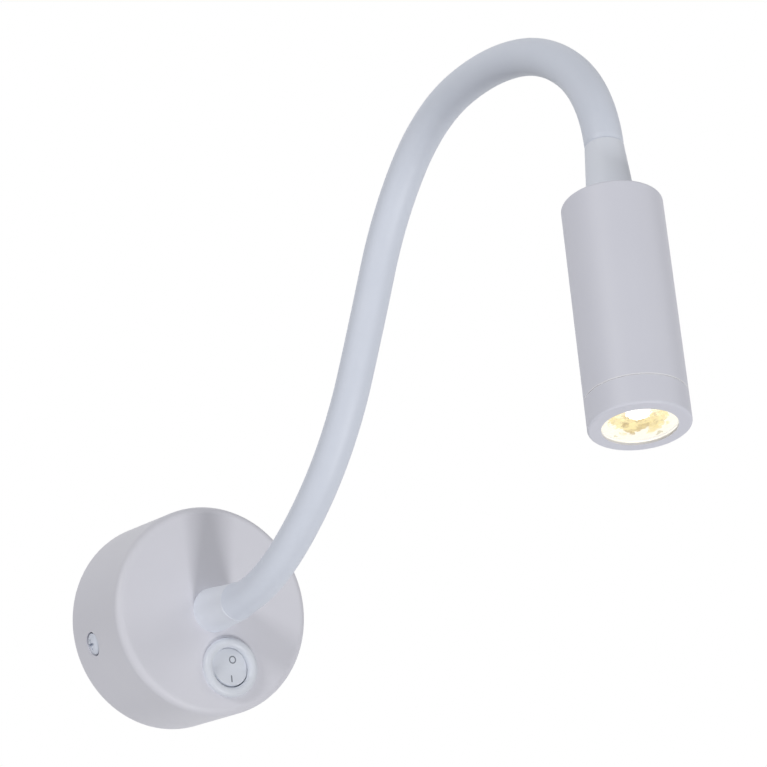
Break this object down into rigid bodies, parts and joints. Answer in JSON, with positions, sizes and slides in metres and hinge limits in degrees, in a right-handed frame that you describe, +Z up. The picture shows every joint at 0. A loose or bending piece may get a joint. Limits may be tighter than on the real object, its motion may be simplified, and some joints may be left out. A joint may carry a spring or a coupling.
{
  "type": "flexible wall light",
  "caption": "Wall reading light: a round base cup with a rocker switch, a bendable sleeved neck and a cylindrical spot head with a clear lens.",
  "frame": {"origin": "middle of the wall bracket's back face, on the axis of the round base, in the wall plane", "axes": "+Y points into the wall, the light stands out towards -Y, +Z is up, and the neck as it stands lies in the plane X = 0"},
  "size_m": [0.08, 0.344, 0.2051],
  "materials": {
    "white_coat": "satin",
    "white_silicone": "matte",
    "white_plastic": "satin",
    "white_alloy": "satin",
    "zinc": "satin",
    "core_steel": "satin",
    "brass": "satin",
    "alloy": "satin",
    "driver_plastic": "matte",
    "pad_foam": "matte",
    "lead_skin": "matte",
    "cable_skin": "matte",
    "board": "satin",
    "phosphor": "satin",
    "clear_lens": "polished"
  },
  "bodies": {
    "base": {"base_cup": "white_coat", "wall_bracket": "zinc", "cover_screws": "zinc", "base_collar": "white_alloy", "base_washer": "zinc", "base_nut": "zinc", "switch_housing": "white_plastic", "switch_terminals": "brass", "switch_connectors": "driver_plastic", "led_driver": "driver_plastic", "driver_pad": "pad_foam", "terminal_block": "driver_plastic", "clamp_tubes": "brass", "clamp_screws": "zinc", "earth_screw": "brass", "mains_leads": "lead_skin", "cable_tail": "cable_skin", "neck_sleeve_0": "white_silicone", "neck_core_0": "core_steel", "neck_cable_0": "cable_skin"},
    "rocker": {"switch_rocker": "white_plastic", "switch_plunger": "brass"},
    "contact": {"switch_contact": "brass"},
    "neck_1": {"neck_sleeve_1": "white_silicone", "neck_core_1": "core_steel", "neck_cable_1": "cable_skin"},
    "neck_2": {"neck_sleeve_2": "white_silicone", "neck_core_2": "core_steel", "neck_cable_2": "cable_skin"},
    "neck_3": {"neck_sleeve_3": "white_silicone", "neck_core_3": "core_steel", "neck_cable_3": "cable_skin"},
    "neck_4": {"neck_sleeve_4": "white_silicone", "neck_core_4": "core_steel", "neck_cable_4": "cable_skin"},
    "neck_5": {"neck_sleeve_5": "white_silicone", "neck_core_5": "core_steel", "neck_cable_5": "cable_skin"},
    "neck_6": {"neck_sleeve_6": "white_silicone", "neck_core_6": "core_steel", "neck_cable_6": "cable_skin"},
    "neck_7": {"neck_sleeve_7": "white_silicone", "neck_core_7": "core_steel", "neck_cable_7": "cable_skin"},
    "head": {"neck_sleeve_8": "white_silicone", "neck_core_8": "core_steel", "neck_cable_8": "cable_skin", "head_ferrule": "white_alloy", "head_washer": "zinc", "head_nut": "zinc", "head_body": "white_alloy", "heat_sink": "alloy", "led_board": "board", "board_screws": "zinc", "led_emitter": "phosphor", "lens_holder": "driver_plastic", "lens": "clear_lens", "front_ring": "white_alloy", "head_leads": "cable_skin"}
  },
  "joints": [
    {"name": "neck_bend_1", "type": "hinge", "parent": "base", "child": "neck_1", "pos_m": [0, -0.09402, 0.01027], "axis": [1, 0, 0], "range_deg": [-25, 25]},
    {"name": "neck_bend_2", "type": "hinge", "parent": "neck_1", "child": "neck_2", "pos_m": [0, -0.12369, 0.03516], "axis": [0, 0.7547, 0.6561], "range_deg": [-25, 25]},
    {"name": "neck_bend_3", "type": "hinge", "parent": "neck_2", "child": "neck_3", "pos_m": [0, -0.14362, 0.06833], "axis": [1, 0, 0], "range_deg": [-25, 25]},
    {"name": "neck_bend_4", "type": "hinge", "parent": "neck_3", "child": "neck_4", "pos_m": [0, -0.15692, 0.10487], "axis": [0, 0.9455, 0.3256], "range_deg": [-25, 25]},
    {"name": "neck_bend_5", "type": "hinge", "parent": "neck_4", "child": "neck_5", "pos_m": [0, -0.17624, 0.13834], "axis": [1, 0, 0], "range_deg": [-25, 25]},
    {"name": "neck_bend_6", "type": "hinge", "parent": "neck_5", "child": "neck_6", "pos_m": [0, -0.20944, 0.15712], "axis": [0, 0.1736, 0.9848], "range_deg": [-25, 25]},
    {"name": "neck_bend_7", "type": "hinge", "parent": "neck_6", "child": "neck_7", "pos_m": [0, -0.24811, 0.15679], "axis": [1, 0, 0], "range_deg": [-25, 25]},
    {"name": "neck_bend_8", "type": "hinge", "parent": "neck_7", "child": "head", "pos_m": [0, -0.28317, 0.14081], "axis": [0, -0.6157, 0.788], "range_deg": [-25, 25]},
    {"name": "rocker_tilt", "type": "hinge", "parent": "base", "child": "rocker", "pos_m": [0.00806, -0.03875, -0.02101], "axis": [1, 0, 0], "range_deg": [0, 18]},
    {"name": "contact_tip", "type": "hinge", "parent": "base", "child": "contact", "pos_m": [0.00806, -0.0305, -0.02101], "axis": [1, 0, 0], "range_deg": [-12.6, 0]}
  ],
  "couplings": [
    {"joint": "contact_tip", "follows": "rocker_tilt", "ratio": -0.7}
  ]
}
